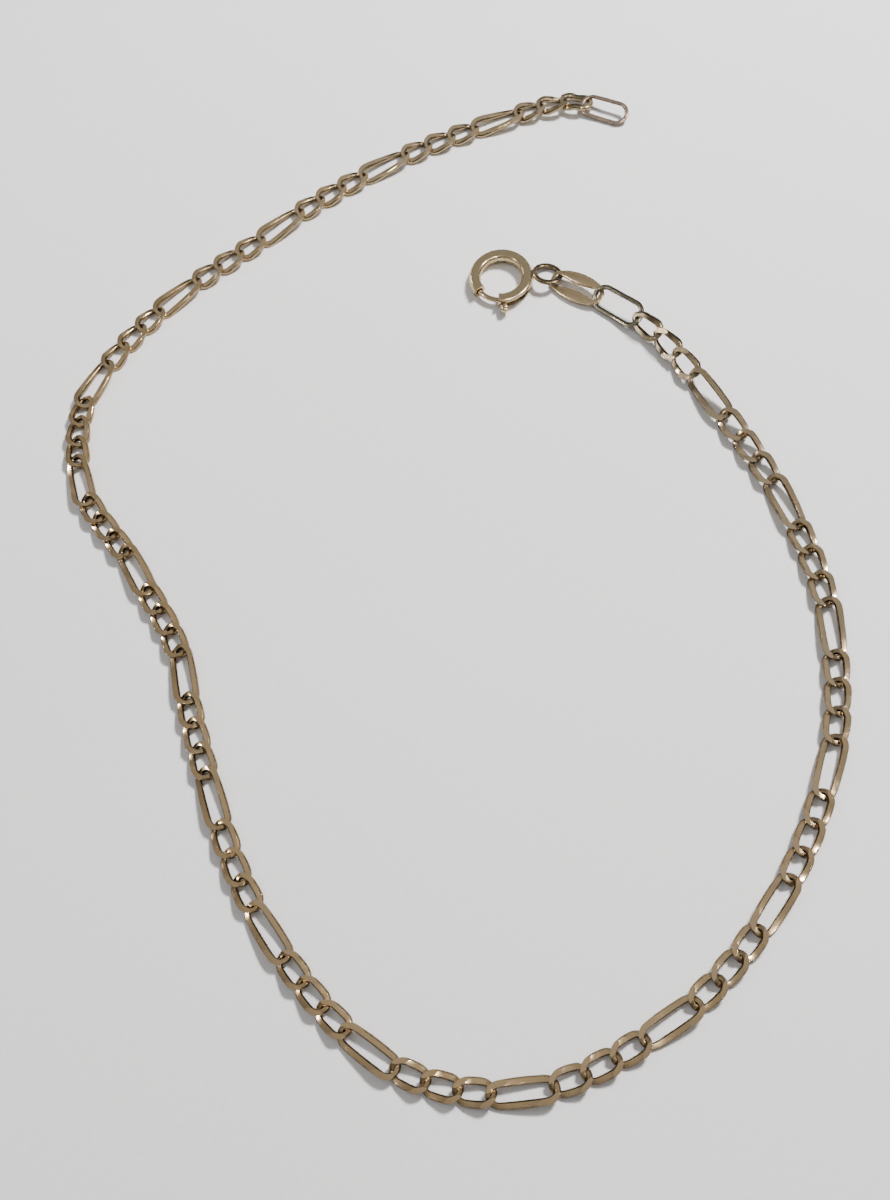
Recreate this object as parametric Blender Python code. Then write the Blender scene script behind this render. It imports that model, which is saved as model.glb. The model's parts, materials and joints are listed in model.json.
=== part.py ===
"""A fine figaro chain bracelet that lies unfastened on a flat surface.

The chain repeats one long link and three short ones, each twisted a little so that it passes over one
side of the next link and under the other, with its faces ground flat. A plain oval link, a flat tag link
and a spring ring with a sliding trigger end it on one side, and a plain oval link on the other.
Lengths are in metres and +Z is up. Travel along the chain runs from the clasp to the free end.
"""

import math
from collections import namedtuple

import bmesh
import bpy
from mathutils import Matrix, Vector

MM = 0.001

# Links of the chain, outside sizes
LONG_LINK_LENGTH = 4.76 * MM
SHORT_LINK_LENGTH = 2.90 * MM
LINK_WIDTH = 1.85 * MM
LINK_WIRE_WIDTH = 0.40 * MM
LINK_WIRE_HEIGHT = 0.34 * MM
GROUND_THICKNESS = 0.66 * MM
SHORT_LINKS_BETWEEN = 3

# Plain oval links at both ends of the chain
FIRST_LINK_LENGTH = 4.45 * MM
FIRST_LINK_WIDTH = 2.12 * MM
FIRST_LINK_WIRE = 0.31 * MM
END_LINK_LENGTH = 4.15 * MM
END_LINK_WIDTH = 1.90 * MM
END_LINK_WIRE = 0.31 * MM

# Flat tag link between the first link and the clasp
TAG_LENGTH = 4.50 * MM
TAG_WIDTH = 2.30 * MM
TAG_FULLNESS = 0.80
TAG_SLOT_WIDTH = 1.60 * MM
TAG_SLOT_FULLNESS = 0.50
TAG_SLOT_PINCH = 0.52
TAG_END_BAND = 0.38 * MM
TAG_THICKNESS = 0.22 * MM

# Spring ring, its soldered eye, and the trigger that slides in it
RING_DIAMETER = 5.00 * MM
TUBE_DIAMETER = 0.92 * MM
TUBE_WALL = 0.15 * MM
EYE_DIAMETER = 2.45 * MM
EYE_WIRE = 0.30 * MM
EYE_SOLDER_DEPTH = 0.12 * MM
EYE_HEIGHT = 0.52 * MM
BOLT_DIAMETER = 0.40 * MM
STEM_DIAMETER = 0.30 * MM
KNOB_DIAMETER = 0.66 * MM
KNOB_REACH = 0.70 * MM
GAP_START_DEG = 216.0
GAP_END_DEG = 266.0
KNOB_DEG = 276.0
EYE_DEG = 3.4
TRIGGER_TRAVEL_DEG = 46.0
BOLT_ENTRY_DEG = 2.0
BOLT_TAIL_DEG = 12.0
BORE_OVERRUN_DEG = 4.0

# Clearances and solder depths
SECOND_LINK_LIFT = 0.10 * MM
SOLDER_SPREAD = 0.02 * MM
NODE_CLEARANCE = 0.26 * MM
NODE_PLAY = 0.16 * MM
SLOT_CLEARANCE = 0.05 * MM
KNOB_CLEARANCE = 0.04 * MM

# How finely the shapes are faceted
WIRE_SIDES = 6
END_STEPS = 4
TUBE_SIDES = 10
TUBE_STEPS = 26
BOLT_STEPS = 8
EYE_STEPS = 12
KNOB_SIDES = 8
TAG_POINTS = 24
ROUTE_SAMPLES = 40

# How the pieces next to the clasp and at the free end lie, degrees about the way of travel,
# positive with the left side up
FIRST_LINK_HEADING = -36.0
TAG_HEADING = -29.0
CLIMBS_FROM_EYE = (0.0, 6.4, 1.7)
ROLLS_FROM_EYE = (-19.0, 28.0, 57.5, 62.0, 50.0, 38.0, 26.0, 16.0, 10.0, 6.0, 3.0)
ROLLS_BACK_FROM_END_LINK = (22.0, -18.0, -11.0, -6.0, -3.0)
END_LINK_SWING = 17.0

LinkShape = namedtuple("LinkShape", "length width wire_width wire_height ground own_solid")
LONG = LinkShape(LONG_LINK_LENGTH, LINK_WIDTH, LINK_WIRE_WIDTH, LINK_WIRE_HEIGHT, GROUND_THICKNESS, False)
SHORT = LONG._replace(length=SHORT_LINK_LENGTH)
EYE = LinkShape(EYE_DIAMETER, EYE_DIAMETER, EYE_WIRE, EYE_WIRE, None, True)
TAG = LinkShape(TAG_LENGTH, TAG_WIDTH, TAG_END_BAND, TAG_THICKNESS, None, True)
FIRST = LinkShape(FIRST_LINK_LENGTH, FIRST_LINK_WIDTH, FIRST_LINK_WIRE, FIRST_LINK_WIRE, None, True)
END = LinkShape(END_LINK_LENGTH, END_LINK_WIDTH, END_LINK_WIRE, END_LINK_WIRE, None, True)

# Where the first link and the free half of the chain come in the row of links that starts with the eye
FIRST_LINK_PLACE = 2
FREE_HALF_PLACE = 40

# The route: where each long link's centre lies and which way it points, from the first link to the end
# link. x and y are shares of one figaro unit, which is a long link and three short ones pulled straight.
RouteRow = namedtuple("RouteRow", "x y heading_deg")
ROUTE = (
    RouteRow(0.888, -0.301, -36.0),
    RouteRow(1.526, -1.055, -57.7),
    RouteRow(2.008, -1.902, -67.2),
    RouteRow(2.251, -2.822, -86.5),
    RouteRow(2.164, -3.756, -107.3),
    RouteRow(1.768, -4.624, -124.3),
    RouteRow(1.112, -5.324, -145.8),
    RouteRow(0.226, -5.745, -172.0),
    RouteRow(-0.713, -5.542, 146.2),
    RouteRow(-1.389, -4.863, 127.0),
    RouteRow(-1.831, -4.016, 110.9),
    RouteRow(-2.116, -3.168, 104.1),
    RouteRow(-2.549, -2.398, 121.9),
    RouteRow(-3.052, -1.688, 108.9),
    RouteRow(-3.053, -0.870, 65.5),
    RouteRow(-2.493, -0.102, 44.6),
    RouteRow(-1.730, 0.535, 41.8),
    RouteRow(-0.935, 1.089, 30.8),
    RouteRow(-0.034, 1.496, 20.3),
    RouteRow(0.819, 1.569, -40.0),
)

Placed = namedtuple("Placed", "shape centre heading pitch roll trail_twist lead_twist")


def taut_pitch(first, second):
    """How far apart two linked centres are when the chain is pulled straight."""
    return (first.length + second.length) / 2 - first.wire_width - second.wire_width


FIGARO_UNIT = 2 * taut_pitch(LONG, SHORT) + (SHORT_LINKS_BETWEEN - 1) * taut_pitch(SHORT, SHORT)


def clear_scene():
    for obj in list(bpy.data.objects):
        bpy.data.objects.remove(obj, do_unlink=True)


def gold(name, colour, roughness):
    """Yellow gold of a low carat."""
    material = bpy.data.materials.new(name)
    material.use_nodes = True
    shader = material.node_tree.nodes["Principled BSDF"]
    shader.inputs["Base Color"].default_value = (*colour, 1.0)
    shader.inputs["Roughness"].default_value = roughness
    shader.inputs["Metallic"].default_value = 1.0
    return material


def add_object(name, bm, material, parent):
    """Turn a bmesh into an object with smooth round sides."""
    mesh = bpy.data.meshes.new(name)
    bm.to_mesh(mesh)
    bm.free()
    mesh.shade_smooth()
    mesh.set_sharp_from_angle(angle=math.radians(50))
    obj = bpy.data.objects.new(name, mesh)
    bpy.context.scene.collection.objects.link(obj)
    obj.parent = parent
    if material:
        mesh.materials.append(material)
    return obj


def add_empty(name, parent, location):
    empty = bpy.data.objects.new(name, None)
    bpy.context.scene.collection.objects.link(empty)
    empty.parent = parent
    empty.location = location
    return empty


def hide_helper(obj):
    obj.hide_render = True
    obj.display_type = "WIRE"


def add_boolean(obj, other, operation):
    modifier = obj.modifiers.new(operation.lower(), "BOOLEAN")
    modifier.operation = operation
    modifier.solver = "EXACT"
    modifier.object = other
    hide_helper(other)


def direction(angle):
    return Vector((math.cos(angle), math.sin(angle), 0.0))


def half_length(shape):
    """From the link's centre to the middle of the wire at its end."""
    return (shape.length - shape.wire_width) / 2


def half_width(shape):
    return (shape.width - shape.wire_width) / 2


def wire_section(bm, width, height, sides, place):
    """A loop of edges across a wire that runs along X, with a flat top and bottom."""
    scale = Matrix.Diagonal((width / 2, height / 2 / math.cos(math.pi / sides), 1.0, 1.0))
    stand = Matrix(((0, 0, 1, 0), (1, 0, 0, 0), (0, 1, 0, 0), (0, 0, 0, 1)))
    half_a_side = Matrix.Rotation(math.pi / sides, 4, "Z")
    made = bmesh.ops.create_circle(bm, segments=sides, radius=1.0, matrix=place @ stand @ scale @ half_a_side)
    return list({edge for vert in made["verts"] for edge in vert.link_edges})


def extrude_edges(bm, edges, shift):
    made = bmesh.ops.extrude_edge_only(bm, edges=edges)["geom"]
    bmesh.ops.translate(bm, vec=shift, verts=[item for item in made if isinstance(item, bmesh.types.BMVert)])
    return [item for item in made if isinstance(item, bmesh.types.BMEdge) and edge_is_rim(item)]


def edge_is_rim(edge):
    return len(edge.link_faces) == 1


def spin_edges(bm, edges, centre, angle, steps):
    made = bmesh.ops.spin(
        bm, geom=edges, cent=centre, axis=(0, 0, 1), dvec=(0, 0, 0), angle=angle, steps=steps, use_merge=False
    )["geom_last"]
    return [item for item in made if isinstance(item, bmesh.types.BMEdge)]


def oval_link(shape, trail_twist, lead_twist):
    """One link round its own centre, its length on X. The twists lift one side at each end."""
    bm = bmesh.new()
    straight = half_length(shape) - half_width(shape)
    start = Matrix.Translation((straight, -half_width(shape), 0))
    rim = wire_section(bm, shape.wire_width, shape.wire_height, WIRE_SIDES, start)
    rim = spin_edges(bm, rim, (straight, 0, 0), math.pi, END_STEPS)
    rim = extrude_edges(bm, rim, (-2 * straight, 0, 0))
    rim = spin_edges(bm, rim, (-straight, 0, 0), math.pi, END_STEPS)
    extrude_edges(bm, rim, (2 * straight, 0, 0))
    bmesh.ops.remove_doubles(bm, verts=bm.verts, dist=shape.wire_width / 100)
    bmesh.ops.recalc_face_normals(bm, faces=bm.faces)
    twist_ends(bm, trail_twist, lead_twist)
    if shape.ground:
        for vert in bm.verts:
            vert.co.z = max(-shape.ground / 2, min(shape.ground / 2, vert.co.z))
    return bm


def twist_ends(bm, trail_twist, lead_twist):
    """Lift the left side of the trailing end and the right side of the leading one."""
    for vert in bm.verts:
        twist = lead_twist if vert.co.x > 0 else trail_twist
        vert.co.z -= twist * vert.co.x * vert.co.y


def tilt(heading, pitch, roll):
    """The turn of a piece that points along heading, climbs by pitch and leans by roll, in degrees."""
    turn = Matrix.Rotation(math.radians(heading), 4, "Z")
    climb = Matrix.Rotation(-math.radians(pitch), 4, "Y")
    return turn @ climb @ Matrix.Rotation(math.radians(roll), 4, "X")


def route_points():
    return [Vector((row.x * FIGARO_UNIT, row.y * FIGARO_UNIT, 0)) for row in ROUTE]


def smooth_step_points(start, end, start_heading, end_heading):
    """Points on the curve that leaves start along one heading and reaches end along the other."""
    chord = (end - start).length
    leave = direction(math.radians(start_heading)) * chord
    arrive = direction(math.radians(end_heading)) * chord
    points = []
    for step in range(ROUTE_SAMPLES + 1):
        t = step / ROUTE_SAMPLES
        points.append(
            start * (2 * t**3 - 3 * t**2 + 1)
            + leave * (t**3 - 2 * t**2 + t)
            + end * (3 * t**2 - 2 * t**3)
            + arrive * (t**3 - t**2)
        )
    return points


def point_along(points, share):
    """The point at this share of the polyline's length."""
    steps = [(b - a).length for a, b in zip(points, points[1:])]
    left = share * sum(steps)
    for start, end, step in zip(points, points[1:], steps):
        if left <= step:
            return start.lerp(end, left / step)
        left -= step
    return points[-1]


def chain_shapes():
    """Everything that is linked, in order, from the clasp's eye to the end link."""
    shapes = [EYE, TAG, FIRST]
    for row in range(1, len(ROUTE)):
        shapes += [SHORT] * SHORT_LINKS_BETWEEN
        shapes.append(END if row == len(ROUTE) - 1 else LONG)
    return shapes


def is_node_joint(shapes, index):
    """Whether the links at index and index + 1 belong to different solids."""
    return shapes[index].own_solid or shapes[index + 1].own_solid or index + 1 == FREE_HALF_PLACE


def centres_before_first_link(first_centre):
    """Plan positions of the eye and the tag, both in line with the tag's own heading."""
    reach = (taut_pitch(TAG, FIRST) - NODE_PLAY) / (TAG.length + FIRST.length)
    along_tag = direction(math.radians(TAG_HEADING))
    tag = first_centre - direction(math.radians(FIRST_LINK_HEADING)) * reach * FIRST.length
    tag -= along_tag * reach * TAG.length
    return [tag - along_tag * (taut_pitch(EYE, TAG) - NODE_PLAY), tag]


def chain_centres(shapes):
    """Each link's centre in plan. The short links share out the curve between two long ones."""
    corners = route_points()
    centres = centres_before_first_link(corners[0]) + [corners[0]]
    for unit, (row, after) in enumerate(zip(ROUTE, ROUTE[1:])):
        first = FIRST_LINK_PLACE + unit * (SHORT_LINKS_BETWEEN + 1)
        pitches = []
        for index in range(first, first + SHORT_LINKS_BETWEEN + 1):
            play = NODE_PLAY if is_node_joint(shapes, index) else 0.0
            pitches.append(taut_pitch(shapes[index], shapes[index + 1]) - play)
        curve = smooth_step_points(corners[unit], corners[unit + 1], row.heading_deg, after.heading_deg)
        for count in range(1, SHORT_LINKS_BETWEEN + 1):
            centres.append(point_along(curve, sum(pitches[:count]) / sum(pitches)))
        centres.append(corners[unit + 1])
    return centres


def chain_headings(centres):
    """Short links point from the centre before to the centre after, long ones as the route says."""
    headings = [TAG_HEADING, TAG_HEADING]
    for index in range(FIRST_LINK_PLACE, len(centres)):
        row, between = divmod(index - FIRST_LINK_PLACE, SHORT_LINKS_BETWEEN + 1)
        if between:
            along = centres[index + 1] - centres[index - 1]
            headings.append(math.degrees(math.atan2(along.y, along.x)))
        else:
            headings.append(ROUTE[row].heading_deg)
    headings[-1] += END_LINK_SWING
    return headings


def chain_rolls(count):
    rolls = [0.0] * count
    rolls[: len(ROLLS_FROM_EYE)] = ROLLS_FROM_EYE
    for back, roll in enumerate(ROLLS_BACK_FROM_END_LINK):
        rolls[count - 1 - back] = roll
    return rolls


def crossing(first, second, pitch):
    """Where two linked ovals cross in plan: x from the first centre, and y to either side."""
    first_straight = half_length(first) - half_width(first)
    second_straight = half_length(second) - half_width(second)
    apart = pitch - first_straight - second_straight
    along = (apart**2 + half_width(first) ** 2 - half_width(second) ** 2) / (2 * apart)
    return first_straight + along, math.sqrt(half_width(first) ** 2 - along**2)


def chain_twists(shapes, centres, rolls):
    """Each link's twist at its trailing and leading end, so that its neighbours pass over and under it.

    The eye and the tag stay flat, and only lean.
    """
    trail = [0.0] * len(shapes)
    lead = [0.0] * len(shapes)
    for index, (first, second) in enumerate(zip(shapes, shapes[1:])):
        pitch = (centres[index + 1] - centres[index]).length
        x, y = crossing(first, second, pitch)
        apart = (first.wire_height + second.wire_height) / 2 + SECOND_LINK_LIFT
        apart += NODE_CLEARANCE if is_node_joint(shapes, index) else SOLDER_SPREAD
        slope = apart / y - math.tan(math.radians(rolls[index + 1] - rolls[index]))
        if first is TAG:
            trail[index + 1] = slope / (pitch - x)
        elif first is not EYE:
            lead[index] = slope / 2 / x
            trail[index + 1] = slope / 2 / (pitch - x)
    return trail, lead


def link_at_origin(shape, trail_twist, lead_twist):
    return tag_mesh(shape) if shape is TAG else oval_link(shape, trail_twist, lead_twist)


def rest_height(shape, trail_twist, lead_twist, pitch, roll):
    """How high the piece's centre is when its lowest point rests on the ground."""
    bm = link_at_origin(shape, trail_twist, lead_twist)
    turned = tilt(0, pitch, roll)
    lowest = min((turned @ vert.co).z for vert in bm.verts)
    bm.free()
    return -lowest


def chain_climbs(centres, heights):
    """Each piece's slope. Past the first link it follows the heights of the pieces on either side."""
    climbs = list(CLIMBS_FROM_EYE)
    for index in range(len(climbs), len(centres)):
        after = min(index + 1, len(centres) - 1)
        along = (centres[after] - centres[index - 1]).length
        climbs.append(math.degrees(math.atan2(heights[after] - heights[index - 1], along)))
    return climbs


def place_chain():
    """Every linked piece with its place. Those past the eye rest on the ground."""
    shapes = chain_shapes()
    centres = chain_centres(shapes)
    headings = chain_headings(centres)
    rolls = chain_rolls(len(shapes))
    twists = list(zip(*chain_twists(shapes, centres, rolls)))
    heights = [rest_height(shape, *twist, 0, roll) for shape, twist, roll in zip(shapes, twists, rolls)]
    climbs = chain_climbs(centres, heights)
    placed = []
    for index, shape in enumerate(shapes):
        height = rest_height(shape, *twists[index], climbs[index], rolls[index])
        if not shape.own_solid:
            height += SECOND_LINK_LIFT * (index % 2)
        centre = centres[index] + Vector((0, 0, EYE_HEIGHT if shape is EYE else height))
        placed.append(Placed(shape, centre, headings[index], climbs[index], rolls[index], *twists[index]))
    return placed


def link_mesh(link):
    bm = link_at_origin(link.shape, link.trail_twist, link.lead_twist)
    place = Matrix.Translation(link.centre) @ tilt(link.heading, link.pitch, link.roll)
    bmesh.ops.transform(bm, matrix=place, verts=bm.verts)
    return bm


def join_meshes(parts):
    joined = bmesh.new()
    scratch = bpy.data.meshes.new("joining")
    for part in parts:
        part.to_mesh(scratch)
        part.free()
        joined.from_mesh(scratch)
    bpy.data.meshes.remove(scratch)
    return joined


def chain_half(name, links, material, parent):
    """A run of links as one solid: every second link, joined to the links between them."""
    even = join_meshes([link_mesh(link) for link in links[::2]])
    odd = join_meshes([link_mesh(link) for link in links[1::2]])
    half = add_object(name, even, material, parent)
    between = add_object(name + "_between", odd, material, parent)
    add_boolean(half, between, "UNION")
    return half


def tag_mesh(shape):
    """A flat oval round its own centre, its length on X, with a slot that its flattened sides pinch."""
    bm = bmesh.new()
    slot_reach = shape.length / 2 - shape.wire_width
    outer = tag_outline(bm, shape.length / 2, shape.width / 2, TAG_FULLNESS, 0.0)
    inner = tag_outline(bm, slot_reach, TAG_SLOT_WIDTH / 2, TAG_SLOT_FULLNESS, TAG_SLOT_PINCH)
    bmesh.ops.bridge_loops(bm, edges=outer + inner)
    made = bmesh.ops.extrude_face_region(bm, geom=list(bm.faces))["geom"]
    lifted = [item for item in made if isinstance(item, bmesh.types.BMVert)]
    bmesh.ops.translate(bm, vec=(0, 0, shape.wire_height), verts=lifted)
    bmesh.ops.translate(bm, vec=(0, 0, -shape.wire_height / 2), verts=bm.verts)
    bmesh.ops.recalc_face_normals(bm, faces=bm.faces)
    return bm


def tag_outline(bm, reach, half, fullness, pinch):
    """A closed loop of edges. A low fullness squares its ends, and the pinch draws its middle in."""
    verts = []
    for step in range(TAG_POINTS):
        angle = 2 * math.pi * step / TAG_POINTS
        side = abs(math.sin(angle))
        across = half * side**fullness * (1 - pinch * side**4)
        verts.append(bm.verts.new((reach * math.cos(angle), math.copysign(across, math.sin(angle)), 0)))
    return [bm.edges.new((first, second)) for first, second in zip(verts, verts[1:] + verts[:1])]


def curved_bar(diameter, sides, start_deg, end_deg, steps):
    """A closed round bar that follows the ring's middle line."""
    bm = bmesh.new()
    radius = (RING_DIAMETER - TUBE_DIAMETER) / 2
    place = Matrix.Rotation(math.radians(start_deg), 4, "Z") @ Matrix.Translation((radius, 0, 0))
    place = place @ Matrix.Rotation(math.pi / 2, 4, "Z")
    first = wire_section(bm, diameter, diameter, sides, place)
    last = spin_edges(bm, list(first), (0, 0, 0), math.radians(end_deg - start_deg), steps)
    for rim in (first, last):
        bmesh.ops.contextual_create(bm, geom=rim)
    bmesh.ops.recalc_face_normals(bm, faces=bm.faces)
    return bm


def ring_tube():
    """The ring from one side of the gap round to the other, before it is bored."""
    return curved_bar(TUBE_DIAMETER, TUBE_SIDES, GAP_END_DEG, GAP_START_DEG + 360, TUBE_STEPS)


def ring_bore():
    """What hollows the ring out. It runs on past both ends."""
    start = GAP_END_DEG - BORE_OVERRUN_DEG
    end = GAP_START_DEG + 360 + BORE_OVERRUN_DEG
    return curved_bar(TUBE_DIAMETER - 2 * TUBE_WALL, TUBE_SIDES, start, end, TUBE_STEPS)


def trigger_slot():
    """What is cut from the tube's outer side for the knob's stem to slide along."""
    bm = bmesh.new()
    inside = (RING_DIAMETER - TUBE_DIAMETER) / 2
    outside = RING_DIAMETER / 2 + TUBE_DIAMETER
    height = STEM_DIAMETER + 2 * SLOT_CLEARANCE
    margin = math.degrees((height / 2) / inside)
    start = math.radians(KNOB_DEG - margin)
    sweep = math.radians(TRIGGER_TRAVEL_DEG + 2 * margin)
    corners = [(inside, -height / 2), (outside, -height / 2), (outside, height / 2), (inside, height / 2)]
    verts = [bm.verts.new(direction(start) * radius + Vector((0, 0, z))) for radius, z in corners]
    face = bm.faces.new(verts)
    bmesh.ops.spin(
        bm, geom=[face], cent=(0, 0, 0), axis=(0, 0, 1), dvec=(0, 0, 0), angle=sweep, steps=END_STEPS,
        use_merge=False,
    )
    bmesh.ops.recalc_face_normals(bm, faces=bm.faces)
    return bm


def eye_mesh():
    """The closed wire eye, leaning a little, soldered to the ring's outer side."""
    bm = bmesh.new()
    place = Matrix.Translation((0, -half_width(EYE), 0))
    rim = wire_section(bm, EYE_WIRE, EYE_WIRE, WIRE_SIDES, place)
    bmesh.ops.spin(
        bm, geom=rim, cent=(0, 0, 0), axis=(0, 0, 1), dvec=(0, 0, 0), angle=2 * math.pi, steps=EYE_STEPS,
        use_merge=True,
    )
    bmesh.ops.remove_doubles(bm, verts=bm.verts, dist=EYE_WIRE / 100)
    bmesh.ops.recalc_face_normals(bm, faces=bm.faces)
    place = Matrix.Translation(eye_offset()) @ tilt(TAG_HEADING, 0, ROLLS_FROM_EYE[0])
    bmesh.ops.transform(bm, matrix=place, verts=bm.verts)
    return bm


def eye_offset():
    """From the ring's centre to the eye's."""
    reach = (RING_DIAMETER + EYE_DIAMETER) / 2 - EYE_SOLDER_DEPTH
    return direction(math.radians(EYE_DEG)) * reach + Vector((0, 0, EYE_HEIGHT - TUBE_DIAMETER / 2))


def bolt_mesh():
    """The curved bolt that closes the gap and runs back inside the tube."""
    return curved_bar(
        BOLT_DIAMETER, WIRE_SIDES, GAP_START_DEG - BOLT_ENTRY_DEG, KNOB_DEG + BOLT_TAIL_DEG, BOLT_STEPS
    )


KnobRow = namedtuple("KnobRow", "reach_share radius_share")
KNOB_PROFILE = (
    KnobRow(0.00, 0.72),
    KnobRow(0.14, 1.00),
    KnobRow(0.62, 1.00),
    KnobRow(0.88, 0.70),
    KnobRow(1.00, 0.30),
)


def knob_mesh():
    """The turned knob and its stem, pointing out from the ring at the knob's angle."""
    bm = bmesh.new()
    middle = (RING_DIAMETER - TUBE_DIAMETER) / 2
    foot = RING_DIAMETER / 2 + KNOB_CLEARANCE
    rows = [(middle, STEM_DIAMETER / 2), (foot, STEM_DIAMETER / 2)]
    length = KNOB_REACH - KNOB_CLEARANCE
    rows += [(foot + row.reach_share * length, row.radius_share * KNOB_DIAMETER / 2) for row in KNOB_PROFILE]
    made = bmesh.ops.create_circle(bm, segments=KNOB_SIDES, radius=STEM_DIAMETER / 2)
    rim = list({edge for vert in made["verts"] for edge in vert.link_edges})
    bmesh.ops.contextual_create(bm, geom=rim)
    for (low, narrow), (high, wide) in zip(rows, rows[1:]):
        rim = extrude_edges(bm, rim, (0, 0, high - low))
        swell = (wide / narrow, wide / narrow, 1)
        bmesh.ops.scale(bm, vec=swell, verts=list({vert for edge in rim for vert in edge.verts}))
    bmesh.ops.contextual_create(bm, geom=rim)
    bmesh.ops.recalc_face_normals(bm, faces=bm.faces)
    turn = Matrix.Rotation(math.radians(KNOB_DEG), 4, "Z") @ Matrix.Rotation(math.pi / 2, 4, "Y")
    turn = turn @ Matrix.Rotation(math.pi / KNOB_SIDES, 4, "Z")
    bmesh.ops.transform(bm, matrix=turn @ Matrix.Translation((0, 0, middle)), verts=bm.verts)
    return bm


def build_clasp(parent, eye_centre):
    """The spring ring lies flat. Its trigger turns about the ring's own axis."""
    clasp = add_empty("clasp", parent, eye_centre - eye_offset())
    bright = gold("spring_ring_gold", (0.62, 0.47, 0.28), 0.22)
    body = add_object("spring_ring_body", ring_tube(), bright, clasp)
    add_boolean(body, add_object("ring_bore", ring_bore(), None, clasp), "DIFFERENCE")
    add_boolean(body, add_object("trigger_slot", trigger_slot(), None, clasp), "DIFFERENCE")
    add_boolean(body, add_object("soldered_eye", eye_mesh(), bright, clasp), "UNION")
    trigger = add_object("trigger", bolt_mesh(), gold("trigger_gold", (0.58, 0.44, 0.27), 0.28), clasp)
    add_boolean(trigger, add_object("trigger_knob", knob_mesh(), None, clasp), "UNION")


def centre_on_ground(root):
    """Move everything so that the origin is under the middle of the whole bracelet."""
    bpy.context.view_layer.update()
    lows = []
    highs = []
    for obj in bpy.context.scene.objects:
        if obj.type != "MESH" or obj.name in ("ring_bore", "trigger_slot"):
            continue
        points = [obj.matrix_world @ vert.co for vert in obj.data.vertices]
        lows.append([min(point[axis] for point in points) for axis in range(3)])
        highs.append([max(point[axis] for point in points) for axis in range(3)])
    low = [min(column) for column in zip(*lows)]
    high = [max(column) for column in zip(*highs)]
    root.location = (-(low[0] + high[0]) / 2, -(low[1] + high[1]) / 2, -low[2])
    bpy.context.view_layer.update()


def build_bracelet():
    clear_scene()
    root = add_empty("bracelet", None, (0, 0, 0))
    eye, tag, first, *chain, end = place_chain()
    build_clasp(root, eye.centre)
    add_object("tag_link", link_mesh(tag), gold("tag_gold", (0.66, 0.50, 0.37), 0.30), root)
    add_object("first_link", link_mesh(first), gold("first_link_gold", (0.46, 0.40, 0.31), 0.26), root)
    clasp_links = FREE_HALF_PLACE - FIRST_LINK_PLACE - 1
    chain_half("chain_clasp_half", chain[:clasp_links], gold("chain_gold", (0.60, 0.46, 0.27), 0.20), root)
    chain_half("chain_free_half", chain[clasp_links:], gold("free_chain_gold", (0.62, 0.48, 0.29), 0.20), root)
    add_object("end_link", link_mesh(end), gold("end_link_gold", (0.60, 0.50, 0.42), 0.30), root)
    centre_on_ground(root)


build_bracelet()
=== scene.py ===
"""Looks of a fine figaro chain bracelet that lies unfastened in an open curve on a pale surface.

The chain's links are ground flat and worn, the tag and the plain links at the ends keep their round or
rolled edges, and the spring ring is a hollow tube with a trigger that slides in it. Lengths are in metres
and +Z is up. Travel along the chain runs from the clasp to the free end.
"""

import json
import logging
import math
import random
from dataclasses import dataclass, field, replace
from enum import Enum
from typing import NamedTuple, Sequence

import bmesh
import bpy
from bmesh.types import BMEdge, BMesh, BMVert
from bpy.types import ColorRamp, Material, Node, NodeSocket, NodeTree, Object
from mathutils import Matrix, Vector


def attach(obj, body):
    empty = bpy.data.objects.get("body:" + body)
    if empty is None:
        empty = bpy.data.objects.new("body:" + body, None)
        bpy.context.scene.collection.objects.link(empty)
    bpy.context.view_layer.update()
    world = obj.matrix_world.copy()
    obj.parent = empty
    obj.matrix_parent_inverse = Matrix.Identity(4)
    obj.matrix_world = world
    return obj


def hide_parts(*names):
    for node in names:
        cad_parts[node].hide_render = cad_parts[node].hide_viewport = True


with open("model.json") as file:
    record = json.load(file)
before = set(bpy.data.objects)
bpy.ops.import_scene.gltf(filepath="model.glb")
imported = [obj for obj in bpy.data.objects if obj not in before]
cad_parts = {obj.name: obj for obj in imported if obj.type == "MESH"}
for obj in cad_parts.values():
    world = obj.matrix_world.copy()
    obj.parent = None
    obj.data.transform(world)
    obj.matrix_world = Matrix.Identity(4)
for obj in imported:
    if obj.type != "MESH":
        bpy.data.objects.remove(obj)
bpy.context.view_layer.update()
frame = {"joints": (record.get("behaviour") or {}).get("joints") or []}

log = logging.getLogger("bracelet")

MM = 0.001
CAMERA_PLACE = Vector((8.39, -35.40, 79.49)) * MM
CAMERA_TURN = Matrix(
    (
        (0.99622, 0.00000, 0.08677),
        (0.03035, 0.93685, -0.34840),
        (-0.08129, 0.34972, 0.93332),
    )
)
SENSOR = 36.0

RING_DIAMETER = 5.00 * MM
RING_HEIGHT = 0.46 * MM
EYE_DEG = 3.4
EYE_SOLDER_DEPTH = 0.12 * MM
NEAR = 0.001 * MM

Colour = tuple[float, float, float]
Profile = tuple[tuple[float, float], ...]


class Side(Enum):
    """Which of a link's two kinds of surface a face belongs to; the value is its material's index."""

    ROUND = 0
    GROUND = 1


class RouteRow(NamedTuple):
    """Where a long link's centre lies, in shares of a figaro unit, and which way it points."""

    x: float
    y: float
    heading: float


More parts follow.
